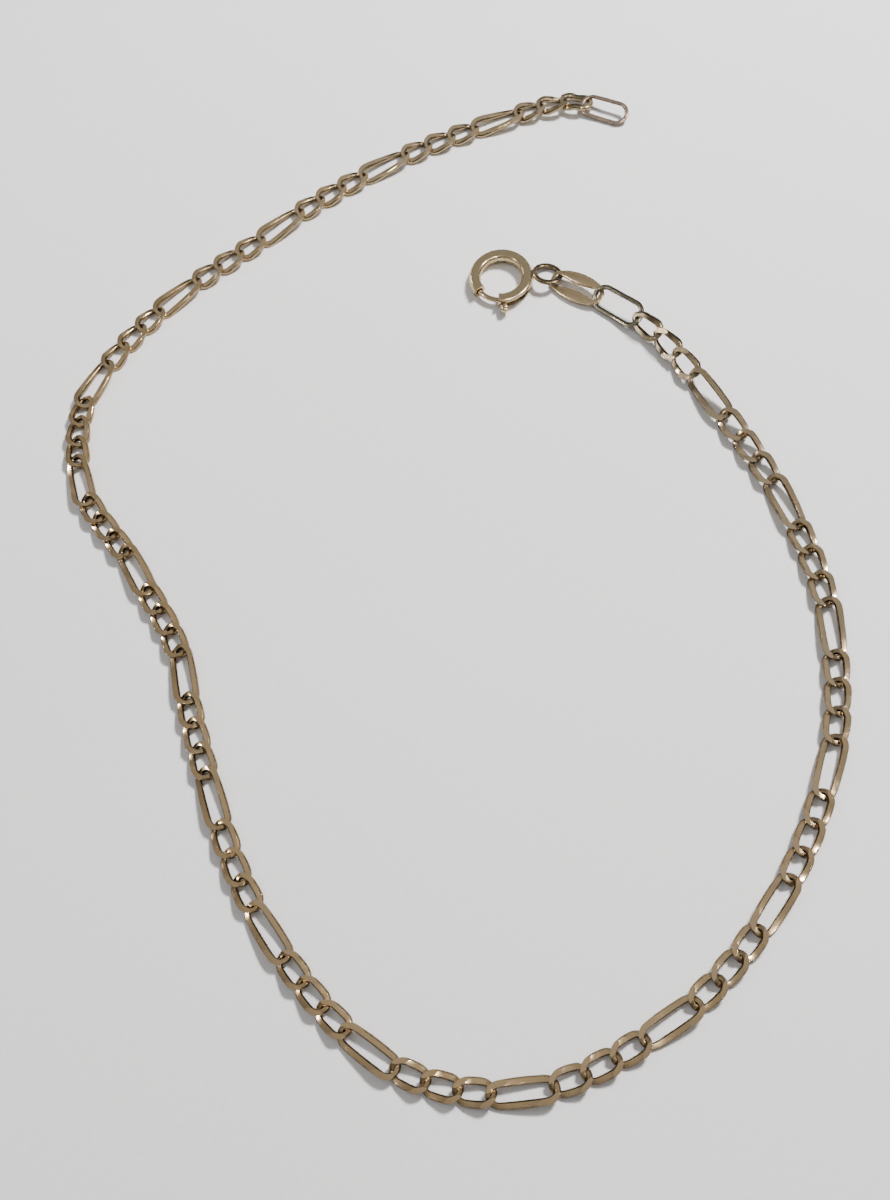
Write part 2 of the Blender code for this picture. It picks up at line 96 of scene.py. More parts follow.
ROUTE: tuple[RouteRow, ...] = (
    RouteRow(0.888, -0.301, -36.0),
    RouteRow(1.526, -1.055, -57.7),
    RouteRow(2.008, -1.902, -67.2),
    RouteRow(2.251, -2.822, -86.5),
    RouteRow(2.164, -3.756, -107.3),
    RouteRow(1.768, -4.624, -124.3),
    RouteRow(1.112, -5.324, -145.8),
    RouteRow(0.226, -5.745, -172.0),
    RouteRow(-0.713, -5.542, 146.2),
    RouteRow(-1.389, -4.863, 127.0),
    RouteRow(-1.831, -4.016, 110.9),
    RouteRow(-2.116, -3.168, 104.1),
    RouteRow(-2.549, -2.398, 121.9),
    RouteRow(-3.052, -1.688, 108.9),
    RouteRow(-3.053, -0.870, 65.5),
    RouteRow(-2.493, -0.102, 44.6),
    RouteRow(-1.730, 0.535, 41.8),
    RouteRow(-0.935, 1.089, 30.8),
    RouteRow(-0.034, 1.496, 20.3),
    RouteRow(0.819, 1.569, -40.0),
)


@dataclass(frozen=True)
class LinkShape:
    """The outside sizes of one linked piece.

    The pitch wire is the wire that spaces the links, and the wire sizes are those of the wire that shows.
    """

    length: float
    width: float
    pitch_wire: float
    wire_width: float
    wire_height: float
    ground: float = 0.0
    chain: bool = False

    @property
    def end_reach(self) -> float:
        """From the centre to the middle of the spacing wire at the link's end."""
        return (self.length - self.pitch_wire) / 2

    @property
    def side_reach(self) -> float:
        """From the centre to the middle of the spacing wire at the link's side."""
        return (self.width - self.pitch_wire) / 2


LONG = LinkShape(4.76 * MM, 1.85 * MM, 0.40 * MM, 0.50 * MM, 0.40 * MM, 0.64 * MM, True)
SHORT = replace(LONG, length=2.90 * MM)
EYE = LinkShape(2.45 * MM, 2.45 * MM, 0.30 * MM, 0.42 * MM, 0.38 * MM)
TAG = LinkShape(4.50 * MM, 2.30 * MM, 0.38 * MM, 0.38 * MM, 0.22 * MM)
FIRST = LinkShape(4.45 * MM, 2.12 * MM, 0.31 * MM, 0.38 * MM, 0.36 * MM)
END = LinkShape(4.15 * MM, 1.90 * MM, 0.31 * MM, 0.32 * MM, 0.32 * MM)


class Placed(NamedTuple):
    """One linked piece with its place, its turn in degrees and the twists of its two ends."""

    shape: LinkShape
    centre: Vector
    heading: float
    pitch: float
    roll: float
    trail_twist: float
    lead_twist: float

    def matrix(self) -> Matrix:
        """Where the piece goes from its own centre."""
        return Matrix.Translation(self.centre) @ turn(self.heading, self.pitch, self.roll)


def heading_vector(degrees: float) -> Vector:
    """The unit vector in plan that points along a heading."""
    return Vector((math.cos(math.radians(degrees)), math.sin(math.radians(degrees)), 0.0))


def turn(heading: float, pitch: float, roll: float) -> Matrix:
    """How a piece is turned.

    Args:
        heading: Which way it points, in degrees.
        pitch: How steeply it climbs, in degrees.
        roll: How far it leans, in degrees, positive with its left side up.

    Returns:
        The turn as a matrix.
    """
    plan = Matrix.Rotation(math.radians(heading), 4, "Z")
    climb = Matrix.Rotation(-math.radians(pitch), 4, "Y")
    return plan @ climb @ Matrix.Rotation(math.radians(roll), 4, "X")


def edges_of(verts: Sequence[BMVert]) -> list[BMEdge]:
    """Every edge that meets one of the points, once each."""
    return list({edge: None for vert in verts for edge in vert.link_edges})


def verts_of(edges: Sequence[BMEdge]) -> list[BMVert]:
    """Every point of the edges, once each."""
    return list({vert: None for edge in edges for vert in edge.verts})


def only_edges(items: Sequence[object]) -> list[BMEdge]:
    """The edges among what an operator gives back."""
    return [item for item in items if isinstance(item, BMEdge)]


def only_verts(items: Sequence[object]) -> list[BMVert]:
    """The points among what an operator gives back."""
    return [item for item in items if isinstance(item, BMVert)]


def unit_share(value: float) -> float:
    """The value kept between 0 and 1."""
    return min(1.0, max(0.0, value))


def wire_loop(bm: BMesh, width: float, height: float, sides: int, flat: float) -> list[BMEdge]:
    """A closed loop across a wire that runs along X.

    Args:
        bm: The mesh that takes it.
        width: The wire's size across.
        height: The wire's size up.
        sides: How many sides the loop has.
        flat: The share of the height at which the round is cut flat, 1 for none.

    Returns:
        The loop's edges.
    """
    stand = Matrix(((0, 0, 1, 0), (1, 0, 0, 0), (0, 1, 0, 0), (0, 0, 0, 1)))
    spun = stand @ Matrix.Rotation(math.pi / sides, 4, "Z")
    made = bmesh.ops.create_circle(bm, segments=sides, radius=0.5, matrix=spun)["verts"]
    for vert in made:
        vert.co.y *= width
        vert.co.z = max(-flat / 2, min(flat / 2, vert.co.z)) * height / flat
    return edges_of(made)


def spun_on(bm: BMesh, edges: list[BMEdge], centre: Vector, angle: float, steps: int) -> list[BMEdge]:
    """Spins a rim about an upright axis, by an angle in radians, and returns the rim where it ends."""
    made = bmesh.ops.spin(
        bm, geom=edges, cent=centre, axis=(0, 0, 1), dvec=(0, 0, 0), angle=angle, steps=steps, use_merge=False
    )
    return only_edges(made["geom_last"])


def drawn_on(bm: BMesh, rim: list[BMEdge], shift: Vector, steps: int) -> list[BMEdge]:
    """Extrudes a rim in a straight line in equal steps and returns the rim where it ends."""
    for _ in range(steps):
        made = bmesh.ops.extrude_edge_only(bm, edges=rim)["geom"]
        bmesh.ops.translate(bm, vec=shift / steps, verts=only_verts(made))
        rim = [edge for edge in only_edges(made) if len(edge.link_faces) == 1]
    return rim


def closed_up(bm: BMesh) -> None:
    """Merges doubles and turns every face outwards."""
    bmesh.ops.remove_doubles(bm, verts=bm.verts, dist=NEAR)
    bmesh.ops.recalc_face_normals(bm, faces=bm.faces)


def bevelled(bm: BMesh, edges: list[BMEdge], offset: float, segments: int) -> None:
    """Rounds edges over."""
    bmesh.ops.bevel(
        bm, geom=edges, offset=offset, segments=segments, profile=0.5, affect="EDGES", material=-1,
        clamp_overlap=True,
    )


def turned_rod(profile: Sequence[tuple[float, float]], sides: int) -> BMesh:
    """A closed rod that starts at the origin and grows along Z.

    Args:
        profile: Pairs of a height and a radius, of which only the rises between heights count.
        sides: How many sides it has.

    Returns:
        The rod.
    """
    bm = bmesh.new()
    rim = edges_of(bmesh.ops.create_circle(bm, segments=sides, radius=profile[0][1])["verts"])
    bmesh.ops.contextual_create(bm, geom=rim)
    for (low, near), (high, far) in zip(profile, profile[1:]):
        rim = drawn_on(bm, rim, Vector((0, 0, high - low)), 1)
        bmesh.ops.scale(bm, vec=(far / near, far / near, 1), verts=verts_of(rim))
    bmesh.ops.contextual_create(bm, geom=rim)
    closed_up(bm)
    return bm


def mark_sharp(bm: BMesh, degrees: float) -> None:
    """Smooths every face and keeps the edges that turn by more than this."""
    limit = math.radians(degrees)
    for face in bm.faces:
        face.smooth = True
    for edge in bm.edges:
        if len(edge.link_faces) == 2 and edge.calc_face_angle(0.0) > limit:
            edge.smooth = False


def poured_together(parts: Sequence[BMesh]) -> BMesh:
    """Puts the parts into one new mesh and frees them."""
    target = bmesh.new()
    scratch = bpy.data.meshes.new("scratch")
    for part in parts:
        part.to_mesh(scratch)
        part.free()
        target.from_mesh(scratch)
    bpy.data.meshes.remove(scratch)
    return target


def made_object(name: str, bm: BMesh, materials: Sequence[Material]) -> Object:
    """Turns a bmesh into an object at the origin.

    Args:
        name: The object's name.
        bm: The mesh, which is freed.
        materials: Its materials, in the order of the faces' indices.

    Returns:
        The object, linked to the scene.
    """
    mesh = bpy.data.meshes.new(name)
    bm.to_mesh(mesh)
    bm.free()
    for material in materials:
        mesh.materials.append(material)
    obj = bpy.data.objects.new(name, mesh)
    bpy.context.scene.collection.objects.link(obj)
    return obj


@dataclass(frozen=True)
class Piece:
    """One piece's name, the node it replaces, a slot name that nothing here reads, and its body."""

    name: str
    node: str
    slot: str
    body: str = "bracelet"

    def dressed(self, bm: BMesh, materials: Sequence[Material]) -> Object:
        """Turns a mesh into the finished piece."""
        obj = made_object(self.name, bm, materials)
        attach(obj, self.body)
        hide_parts(self.node)
        return obj


CLASP_SIDE_LINKS = Piece("clasp_side_links", "chain_clasp_half", "chain_gold")
FREE_SIDE_LINKS = Piece("free_side_links", "chain_free_half", "free_chain_gold")
FIRST_OVAL = Piece("first_oval", "first_link", "first_link_gold")
END_OVAL = Piece("end_oval", "end_link", "end_link_gold")
TAG_PIECE = Piece("tag_plate", "tag_link", "tag_gold")
RING_PIECE = Piece("spring_ring", "spring_ring_body", "spring_ring_gold")
TRIGGER_PIECE = Piece("trigger_bolt", "trigger", "trigger_gold", "trigger")


class Wire:
    """A shader socket that takes part in Python expressions on values."""

    def __init__(self, tree: NodeTree, socket: NodeSocket) -> None:
        """Wraps a socket of the tree."""
        self.tree = tree
        self.socket = socket

    def _math(self, operation: str, first: object, second: object = 0.0) -> "Wire":
        """Adds one Math node.

        Args:
            operation: The node's operation.
            first: A Wire or a number.
            second: A Wire or a number.

        Returns:
            The node's result.
        """
        node = self.tree.nodes.new("ShaderNodeMath")
        node.operation = operation
        for place, item in enumerate((first, second)):
            if isinstance(item, Wire):
                self.tree.links.new(item.socket, node.inputs[place])
            else:
                node.inputs[place].default_value = float(item)
        return Wire(self.tree, node.outputs[0])

    def __add__(self, other: object) -> "Wire":
        """The sum."""
        return self._math("ADD", self, other)

    __radd__ = __add__

    def __mul__(self, other: object) -> "Wire":
        """The product."""
        return self._math("MULTIPLY", self, other)

    __rmul__ = __mul__

    def __sub__(self, other: object) -> "Wire":
        """The difference."""
        return self._math("SUBTRACT", self, other)

    def __rsub__(self, other: object) -> "Wire":
        """The difference from a number."""
        return self._math("SUBTRACT", other, self)

    def held(self) -> "Wire":
        """The value kept between 0 and 1."""
        return self._math("MINIMUM", self._math("MAXIMUM", self, 0.0), 1.0)


class Paint:
    """Builds the nodes of one material or world."""

    def __init__(self, tree: NodeTree) -> None:
        """Starts on an empty tree."""
        self.tree = tree
        tree.nodes.clear()

    def node(self, kind: str, settings: dict[str, object], sockets: dict[str, object]) -> Node:
        """Adds a node.

        Args:
            kind: The node's type, without the word that every type starts with.
            settings: What is set on the node first. The stops of a ramp are given as a list.
            sockets: Values, colours or Wires for its sockets, by name.

        Returns:
            The node.
        """
        node = self.tree.nodes.new("ShaderNode" + kind)
        for name, value in settings.items():
            if name == "stops":
                self._set_stops(node.color_ramp, value)
            else:
                setattr(node, name, value)
        for name, value in sockets.items():
            socket = next(item for item in node.inputs if item.name == name and item.enabled)
            if isinstance(value, Wire):
                self.tree.links.new(value.socket, socket)
            else:
                socket.default_value = (*value, 1.0) if socket.type == "RGBA" else value
        return node

    @staticmethod
    def _set_stops(ramp: ColorRamp, stops: Sequence[tuple[float, float]]) -> None:
        """Sets a ramp's stops, each a place and a grey level."""
        while len(ramp.elements) < len(stops):
            ramp.elements.new(1.0)
        for element, (place, level) in zip(ramp.elements, stops):
            element.position = place
            element.color = (level, level, level, 1.0)

    def out(self, node: Node, name: str) -> Wire:
        """One of a node's results."""
        return Wire(self.tree, next(item for item in node.outputs if item.name == name and item.enabled))

    def noise(
        self, scale: float, detail: float, stretch: Colour = (1.0, 1.0, 1.0), slant: float = 0.0
    ) -> Wire:
        """Noise that stays with the object.

        Args:
            scale: How many cells there are in a metre.
            detail: How many finer layers it has.
            stretch: How it is stretched along each axis.
            slant: How far it is turned about Z, in degrees.

        Returns:
            The noise, about 0.5.
        """
        place = self.out(self.node("TexCoord", {}, {}), "Object")
        mapping = self.node("Mapping", {}, {"Vector": place, "Rotation": (0.0, 0.0, math.radians(slant))})
        mapping.inputs["Scale"].default_value = stretch
        sockets = {"Vector": self.out(mapping, "Vector"), "Scale": scale, "Detail": detail}
        return Wire(self.tree, self.node("TexNoise", {}, sockets).outputs[0])

    def ramp(self, factor: Wire, stops: Sequence[tuple[float, float]]) -> Wire:
        """Maps a value through a ramp of grey levels."""
        return self.out(self.node("ValToRGB", {"stops": stops}, {"Fac": factor}), "Color")

    def mix(self, factor: object, first: object, second: object) -> Wire:
        """Mixes two colours."""
        sockets = {"Factor": factor, "A": first, "B": second}
        return self.out(self.node("Mix", {"data_type": "RGBA"}, sockets), "Result")

    def attribute(self, name: str) -> Wire:
        """A number that is kept on the mesh."""
        return self.out(self.node("Attribute", {"attribute_name": name}, {}), "Fac")

    def bump(self, height: Wire, depth: float, over: Wire | None = None) -> Wire:
        """The normal that a height pattern gives, with its depth in metres, over another one if given."""
        sockets = {"Height": height, "Strength": 1.0, "Distance": depth}
        if over is not None:
            sockets["Normal"] = over
        return self.out(self.node("Bump", {}, sockets), "Normal")

    def finish(self, shader: str, output: str, sockets: dict[str, object]) -> None:
        """Adds the shader of this type and links it to the output of a Material or a World."""
        made = self.node(shader, {}, sockets)
        out = self.tree.nodes.new("ShaderNodeOutput" + output)
        self.tree.links.new(made.outputs[0], out.inputs["Surface"])


@dataclass(frozen=True)
class GoldFinish:
    """A worn low-carat gold.

    The tone attribute shifts each link between pale and warm. The grime attribute mixes in the tarnish
    colour: real patina, and painted shade on the walls, inside the round ends and on the outer rail.
    """

    name: str
    pale: Colour
    warm: Colour
    tarnish_and_shade: Colour
    roughness: float
    scratch_depth: float
    dent_depth: float
    tarnish_share: float = 0.25

    def material(self) -> Material:
        """Builds the material."""
        material = bpy.data.materials.new(self.name)
        material.use_nodes = True
        paint = Paint(material.node_tree)
        tone = paint.attribute("tone")
        grime_and_shade = paint.attribute("grime_and_shade")
        cloud = paint.ramp(paint.noise(900.0, 3.0), [(0.35, 0.0), (0.65, 1.0)])
        specks = paint.ramp(paint.noise(5200.0, 4.0), [(0.52, 0.0), (0.72, 1.0)])
        metal = paint.mix((tone * 0.7 + cloud * 0.3).held(), self.pale, self.warm)
        # Dark mix: real patina and specks, plus the painted shade that the grime attribute holds.
        dull_and_shade = (grime_and_shade * (0.80 + specks * 0.20) + specks * self.tarnish_share * 0.35).held()
        colour = paint.mix(dull_and_shade, metal, self.tarnish_and_shade)
        along = paint.noise(9000.0, 2.0, (0.09, 1.0, 1.0), 27.0)
        across = paint.noise(9000.0, 2.0, (1.0, 0.07, 1.0), -14.0)
        fine = paint.ramp(along, [(0.60, 0.0), (0.68, 1.0)]) + paint.ramp(across, [(0.62, 0.0), (0.70, 1.0)])
        handled = paint.noise(2600.0, 2.0)
        roughness = (self.roughness + fine * 0.06 + cloud * 0.05 + dull_and_shade * 0.08).held()
        normal = paint.bump(fine, self.scratch_depth, paint.bump(handled, self.dent_depth))
        sockets = {"Base Color": colour, "Metallic": 1.0, "Roughness": roughness, "Normal": normal}
        paint.finish("BsdfPrincipled", "Material", sockets)
        return material


# The round sides' metal is dimmer than the ground faces': duller wire, and painted shade on the walls.
POLISHED_WIRE = GoldFinish(
    "worn_wire_gold", (0.50, 0.40, 0.25), (0.54, 0.37, 0.18), (0.022, 0.013, 0.007), 0.16, 1.2e-6, 5e-6
)
GROUND_FACE = GoldFinish(
    "ground_face_gold", (0.61, 0.50, 0.34), (0.65, 0.46, 0.25), (0.10, 0.06, 0.03), 0.15, 1.0e-6, 5e-6, 0.15
)
OLIVE_WIRE = GoldFinish(
    "olive_wire_gold", (0.36, 0.33, 0.24), (0.33, 0.28, 0.19), (0.03, 0.024, 0.016), 0.18, 1.2e-6, 4e-6, 0.35
)
PINK_WIRE = GoldFinish(
    "pale_wire_gold", (0.64, 0.51, 0.41), (0.60, 0.45, 0.33), (0.10, 0.065, 0.04), 0.24, 1.2e-6, 4e-6
)
TAG_PLATE = GoldFinish(
    "pressed_plate_gold", (0.56, 0.445, 0.275), (0.56, 0.41, 0.235), (0.09, 0.055, 0.03), 0.25, 1.6e-6, 7e-6
)
RING_TUBE = GoldFinish(
    "ring_tube_gold", (0.48, 0.395, 0.25), (0.46, 0.355, 0.205), (0.05, 0.035, 0.02), 0.26, 1.4e-6, 5e-6
)
TRIGGER_METAL = GoldFinish(
    "trigger_gold", (0.52, 0.42, 0.27), (0.50, 0.38, 0.22), (0.05, 0.03, 0.018), 0.20, 1.4e-6, 4e-6
)


@dataclass
class ChainLayout:
    """Works out where every linked piece lies, from the eye to the end link."""

    shorts_between: int = 3
    node_play: float = 0.16 * MM
    touch_gap: float = 0.01 * MM
    first_place: int = 2
    free_half_place: int = 40
    route_samples: int = 40
    first_heading: float = -36.0
    tag_heading: float = -29.0
    eye_height: float = 0.52 * MM
    end_swing: float = 17.0
    climbs_from_eye: tuple[float, ...] = (0.0, 4.0, 1.7)
    rolls_from_eye: tuple[float, ...] = (-19.0, 14.0, 40.0, 55.0, 48.0, 36.0, 25.0, 16.0, 10.0, 6.0, 3.0)
    rolls_back_from_end: tuple[float, ...] = (22.0, -18.0, -11.0, -6.0, -3.0)

    @staticmethod
    def taut(first: LinkShape, second: LinkShape) -> float:
        """How far apart two linked centres are when the chain is pulled straight."""
        return (first.length + second.length) / 2 - first.pitch_wire - second.pitch_wire

    @property
    def unit(self) -> float:
        """The length of one long link and three short ones, pulled straight."""
        return 2 * self.taut(LONG, SHORT) + (self.shorts_between - 1) * self.taut(SHORT, SHORT)

    def shapes(self) -> list[LinkShape]:
        """Every linked piece's shape, in order."""
        shapes = [EYE, TAG, FIRST]
        for row in range(1, len(ROUTE)):
            shapes += [SHORT] * self.shorts_between
            shapes.append(END if row == len(ROUTE) - 1 else LONG)
        return shapes

    def is_loose(self, shapes: Sequence[LinkShape], index: int) -> bool:
        """Whether the links at index and index + 1 have a little play between them."""
        both_chain = shapes[index].chain and shapes[index + 1].chain
        return not both_chain or index + 1 == self.free_half_place

    def _curve(self, row: int) -> list[Vector]:
        """Points on the smooth curve between two rows of the route.

        Args:
            row: The row where it starts.

        Returns:
            The points.
        """
        start, end = (Vector((item.x, item.y, 0.0)) * self.unit for item in ROUTE[row : row + 2])
        chord = (end - start).length
        leave, arrive = (heading_vector(item.heading) * chord for item in ROUTE[row : row + 2])
        points = []
        for step in range(self.route_samples + 1):
            t = step / self.route_samples
            points.append(
                start * (2 * t**3 - 3 * t**2 + 1)
                + leave * (t**3 - 2 * t**2 + t)
                + end * (3 * t**2 - 2 * t**3)
                + arrive * (t**3 - t**2)
            )
        return points

    @staticmethod
    def _along(points: Sequence[Vector], share: float) -> Vector:
        """The point at this share of the polyline's length."""
        steps = [(b - a).length for a, b in zip(points, points[1:])]
        left = share * sum(steps)
        for start, end, step in zip(points, points[1:], steps):
            if left <= step:
                return start.lerp(end, left / step)
            left -= step
        return points[-1]

    def centres(self, shapes: Sequence[LinkShape]) -> list[Vector]:
        """Each link's centre in plan.

        Args:
            shapes: The linked pieces' shapes.

        Returns:
            Their centres, on the ground.
        """
        corners = [Vector((row.x, row.y, 0.0)) * self.unit for row in ROUTE]
        share = (self.taut(TAG, FIRST) - self.node_play) / (TAG.length + FIRST.length)
        along_tag = heading_vector(self.tag_heading)
        tag = corners[0] - heading_vector(self.first_heading) * share * FIRST.length
        tag -= along_tag * share * TAG.length
        centres = [tag - along_tag * (self.taut(EYE, TAG) - self.node_play), tag, corners[0]]
        for unit in range(len(ROUTE) - 1):
            first = self.first_place + unit * (self.shorts_between + 1)
            pitches = []
            for index in range(first, first + self.shorts_between + 1):
                play = self.node_play if self.is_loose(shapes, index) else 0.0
                pitches.append(self.taut(shapes[index], shapes[index + 1]) - play)
            curve = self._curve(unit)
            for count in range(1, self.shorts_between + 1):
                centres.append(self._along(curve, sum(pitches[:count]) / sum(pitches)))
            centres.append(corners[unit + 1])
        return centres

    def headings(self, centres: Sequence[Vector]) -> list[float]:
        """Which way each link points: short ones along their neighbours, long ones along the route."""
        headings = [self.tag_heading, self.tag_heading]
        for index in range(self.first_place, len(centres)):
            row, between = divmod(index - self.first_place, self.shorts_between + 1)
            if between:
                along = centres[index + 1] - centres[index - 1]
                headings.append(math.degrees(math.atan2(along.y, along.x)))
            else:
                headings.append(ROUTE[row].heading)
        headings[-1] += self.end_swing
        return headings

    def rolls(self, count: int) -> list[float]:
        """How far each link leans."""
        rolls = [0.0] * count
        rolls[: len(self.rolls_from_eye)] = self.rolls_from_eye
        for back, roll in enumerate(self.rolls_back_from_end):
            rolls[count - 1 - back] = roll
        return rolls

    @staticmethod
    def crossing(first: LinkShape, second: LinkShape, pitch: float) -> tuple[float, float]:
        """Where two linked ovals cross in plan.

        Args:
            first: The link behind.
            second: The link ahead.
            pitch: How far apart their centres are.

        Returns:
            The distance from the first centre along the chain, and the distance to either side.
        """
        first_straight = first.end_reach - first.side_reach
        second_straight = second.end_reach - second.side_reach
        apart = pitch - first_straight - second_straight
        along = (apart**2 + first.side_reach**2 - second.side_reach**2) / (2 * apart)
        return first_straight + along, math.sqrt(first.side_reach**2 - along**2)

    def twists(
        self, shapes: Sequence[LinkShape], centres: Sequence[Vector], rolls: Sequence[float]
    ) -> list[tuple[float, float]]:
        """Each link's twist at its two ends, so that its neighbours pass over and under it.

        Args:
            shapes: The linked pieces' shapes.
            centres: Their centres in plan.
            rolls: How far they lean, in degrees.

        Returns:
            A pair of twists for each, trailing end first. The eye and the tag stay flat.
        """
        trail = [0.0] * len(shapes)
        lead = [0.0] * len(shapes)
        for index, (first, second) in enumerate(zip(shapes, shapes[1:])):
            pitch = (centres[index + 1] - centres[index]).length
            x, y = self.crossing(first, second, pitch)
            apart = (first.wire_height + second.wire_height) / 2 + self.touch_gap
            slope = apart / y - math.tan(math.radians(rolls[index + 1] - rolls[index]))
            if first is TAG:
                trail[index + 1] = slope / (pitch - x)
            elif first is not EYE:
                lead[index] = slope / 2 / x
                trail[index + 1] = slope / 2 / (pitch - x)
        return list(zip(trail, lead))

    def place(self, shift: Vector) -> list[Placed]:
        """Places every linked piece, at rest on the ground.

        Args:
            shift: From the route's own coordinates to the row's.

        Returns:
            The placed pieces, in order.
        """
        shapes = self.shapes()
        centres = self.centres(shapes)
        headings = self.headings(centres)
        rolls = self.rolls(len(shapes))
        twists = self.twists(shapes, centres, rolls)
        heights = [rest_height(shape, twist, 0.0, roll) for shape, twist, roll in zip(shapes, twists, rolls)]
        climbs = list(self.climbs_from_eye)
        for index in range(len(climbs), len(centres)):
            after = min(index + 1, len(centres) - 1)
            along = (centres[after] - centres[index - 1]).length
            climbs.append(math.degrees(math.atan2(heights[after] - heights[index - 1], along)))
        placed = []
        for index, shape in enumerate(shapes):
            height = rest_height(shape, twists[index], climbs[index], rolls[index])
            up = Vector((0.0, 0.0, self.eye_height if shape is EYE else height))
            centre = centres[index] + up + shift
            placed.append(Placed(shape, centre, headings[index], climbs[index], rolls[index], *twists[index]))
        return placed


def rest_height(shape: LinkShape, twist: tuple[float, float], pitch: float, roll: float) -> float:
    """How high a piece's centre is when its lowest point rests on the ground.

    Args:
        shape: The piece's shape.
        twist: Its twists, trailing end first.
        pitch: How steeply it climbs, in degrees.
        roll: How far it leans, in degrees.

    Returns:
        The height in metres.
    """
    bm = TagPlate().mesh() if shape is TAG else OvalLink(shape, *twist).coarse()
    turned = turn(0.0, pitch, roll)
    lowest = min((turned @ vert.co).z for vert in bm.verts)
    bm.free()
    return -lowest


@dataclass
class OvalLink:
    """One oval wire link round its own centre, with its length on X."""

    shape: LinkShape
    trail_twist: float
    lead_twist: float
    sides: int = 24
    end_steps: int = 18
    straight_steps: int = 6
    coarse_end_steps: int = 8
    coarse_straight_steps: int = 4
    flat_upto: float = 0.95
    flat_share: float = 0.78
    end_thinning: float = 0.80
    roundness: float = 0.26
    bevel: float = 0.024 * MM

    def _sweep(self, end_steps: int, straight_steps: int) -> BMesh:
        """Sweeps the wire round the oval and twists its ends.

        Args:
            end_steps: How many steps each round end takes.
            straight_steps: How many steps each straight side takes.

        Returns:
            The closed wire, before it is ground.
        """
        shape = self.shape
        bm = bmesh.new()
        reach = (shape.width - shape.wire_width) / 2
        straight = (shape.length - shape.width) / 2
        flat = self.flat_share if shape.chain else 1.0
        rim = wire_loop(bm, shape.wire_width, shape.wire_height, self.sides, flat)
        bmesh.ops.translate(bm, vec=(straight, -reach, 0.0), verts=bm.verts)
        rim = spun_on(bm, rim, Vector((straight, 0, 0)), math.pi, end_steps)
        rim = drawn_on(bm, rim, Vector((-2 * straight, 0, 0)), straight_steps)
        rim = spun_on(bm, rim, Vector((-straight, 0, 0)), math.pi, end_steps)
        drawn_on(bm, rim, Vector((2 * straight, 0, 0)), straight_steps)
        closed_up(bm)
        for vert in bm.verts:
            self._shape_point(vert, straight, reach)
        return bm

    def _shape_point(self, vert: BMVert, straight: float, reach: float) -> None:
        """Lifts one side at each end, thins the wire where the next link hangs, and rounds the oval."""
        twist = self.lead_twist if vert.co.x > 0 else self.trail_twist
        vert.co.z -= twist * vert.co.x * vert.co.y
        past = abs(vert.co.x) - straight
        if self.shape.chain and past > 0:
            out = math.hypot(past, vert.co.y)
            thin = self.end_thinning + (1 - self.end_thinning) * abs(vert.co.y) / out
            scale = (reach + (out - reach) * thin) / out
            vert.co.x = math.copysign(straight + past * scale, vert.co.x)
            vert.co.y *= scale
        if self.shape.chain:
            share = (2 * vert.co.x / self.shape.length) ** 2
            vert.co.y *= 1 - self.roundness * share * SHORT.length / self.shape.length

    def coarse(self) -> BMesh:
        """A coarse version that is ground by moving its points, to find how the link rests."""
        bm = self._sweep(self.coarse_end_steps, self.coarse_straight_steps)
        half = self.shape.ground / 2
        if half:
            for vert in bm.verts:
                vert.co.z = max(-half, min(half, vert.co.z))
        return bm

    def mesh(self) -> BMesh:
        """The link with its ground faces, sharp edges and material indices."""
        bm = self._sweep(self.end_steps, self.straight_steps)
        if self.shape.ground:
            self._mark_flats(bm)
            for side in (1, -1):
                self._grind(bm, side)
            bevelled(bm, [edge for edge in bm.edges if not edge.smooth], self.bevel, 2)
        for face in bm.faces:
            face.smooth = True
        return bm

    def _mark_flats(self, bm: BMesh) -> None:
        """Gives the wire's flat top and bottom their material and sharp borders."""
        for face in bm.faces:
            if abs(face.normal.z) > self.flat_upto:
                face.material_index = Side.GROUND.value
        for edge in bm.edges:
            kinds = {face.material_index for face in edge.link_faces}
            edge.smooth = len(kinds) == 1

    def _grind(self, bm: BMesh, side: int) -> None:
        """Cuts one side of the link flat and fills the cut.

        Args:
            bm: The link.
            side: 1 for the top and -1 for the bottom.
        """
        plane = Vector((0.0, 0.0, side * self.shape.ground / 2))
        cut = bmesh.ops.bisect_plane(
            bm, geom=[*bm.verts, *bm.edges, *bm.faces], dist=1e-9, plane_co=plane, plane_no=(0, 0, side),
            clear_outer=True,
        )["geom_cut"]
        rims = [edge for edge in only_edges(cut) if len(edge.link_faces) == 1]
        if not rims:
            return
        made = bmesh.ops.holes_fill(bm, edges=rims, sides=0)["faces"]
        for face in made:
            face.material_index = Side.GROUND.value
        for edge in rims:
            edge.smooth = False
        bmesh.ops.recalc_face_normals(bm, faces=bm.faces)


